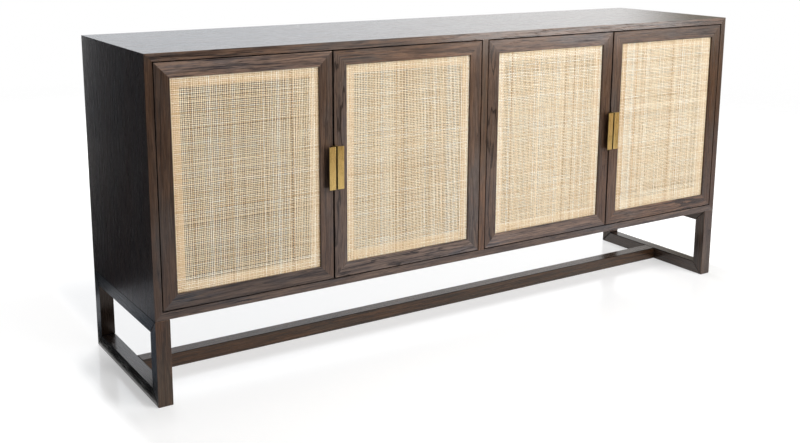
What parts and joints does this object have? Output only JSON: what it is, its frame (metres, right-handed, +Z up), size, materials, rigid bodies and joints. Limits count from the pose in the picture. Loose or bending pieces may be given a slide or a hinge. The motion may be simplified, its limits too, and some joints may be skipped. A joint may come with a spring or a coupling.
{
  "type": "credenza",
  "caption": "Low wide cupboard: mitred dark wood case, hinged doors of framed woven cane with angle pulls, inner shelves, on two open loops joined by a stretcher.",
  "frame": {"origin": "on the floor, under the middle of the overall box with the pulls", "axes": "+X to the right as seen from the front, -Y to the front, +Z up"},
  "size_m": [1.8, 0.456, 0.8],
  "materials": {
    "wood": "dark stained oak, satin lacquer",
    "pale_wood": "bare pale softwood strips",
    "cane": "natural woven cane, light sheen",
    "brass": "brushed brass",
    "steel": "zinc plated",
    "dark_plastic": "matt dark brown"
  },
  "bodies": {
    "case": {"top_panel": "wood", "bottom_panel": "wood", "left_side": "wood", "right_side": "wood", "centre_divider": "wood", "back_panel": "wood", "left_shelf": "wood", "right_shelf": "wood", "shelf_pins": "steel", "case_pivots": "brass", "catches": "dark_plastic", "left_front_leg": "wood", "left_back_leg": "wood", "left_top_rail": "wood", "left_bottom_rail": "wood", "right_front_leg": "wood", "right_back_leg": "wood", "right_top_rail": "wood", "right_bottom_rail": "wood", "stretcher": "wood", "base_bolts": "steel"},
    "door_1": {"door_1_hinge_stile": "wood", "door_1_meeting_stile": "wood", "door_1_top_rail": "wood", "door_1_bottom_rail": "wood", "door_1_inner_frame": "pale_wood", "door_1_cane": "cane", "door_1_pull": "brass", "door_1_pull_screws": "brass", "door_1_fittings": "steel"},
    "door_2": {"door_2_hinge_stile": "wood", "door_2_meeting_stile": "wood", "door_2_top_rail": "wood", "door_2_bottom_rail": "wood", "door_2_inner_frame": "pale_wood", "door_2_cane": "cane", "door_2_pull": "brass", "door_2_pull_screws": "brass", "door_2_fittings": "steel"},
    "door_3": {"door_3_hinge_stile": "wood", "door_3_meeting_stile": "wood", "door_3_top_rail": "wood", "door_3_bottom_rail": "wood", "door_3_inner_frame": "pale_wood", "door_3_cane": "cane", "door_3_pull": "brass", "door_3_pull_screws": "brass", "door_3_fittings": "steel"},
    "door_4": {"door_4_hinge_stile": "wood", "door_4_meeting_stile": "wood", "door_4_top_rail": "wood", "door_4_bottom_rail": "wood", "door_4_inner_frame": "pale_wood", "door_4_cane": "cane", "door_4_pull": "brass", "door_4_pull_screws": "brass", "door_4_fittings": "steel"}
  },
  "joints": [
    {"name": "door_1_hinge", "type": "hinge", "parent": "case", "child": "door_1", "pos_m": [-0.8655, -0.204, 0.2255], "axis": [0, 0, -1], "range_deg": [0, 105]},
    {"name": "door_2_hinge", "type": "hinge", "parent": "case", "child": "door_2", "pos_m": [-0.0255, -0.204, 0.2255], "axis": [0, 0, 1], "range_deg": [0, 90]},
    {"name": "door_3_hinge", "type": "hinge", "parent": "case", "child": "door_3", "pos_m": [0.0255, -0.204, 0.2255], "axis": [0, 0, -1], "range_deg": [0, 90]},
    {"name": "door_4_hinge", "type": "hinge", "parent": "case", "child": "door_4", "pos_m": [0.8655, -0.204, 0.2255], "axis": [0, 0, 1], "range_deg": [0, 105]}
  ]
}
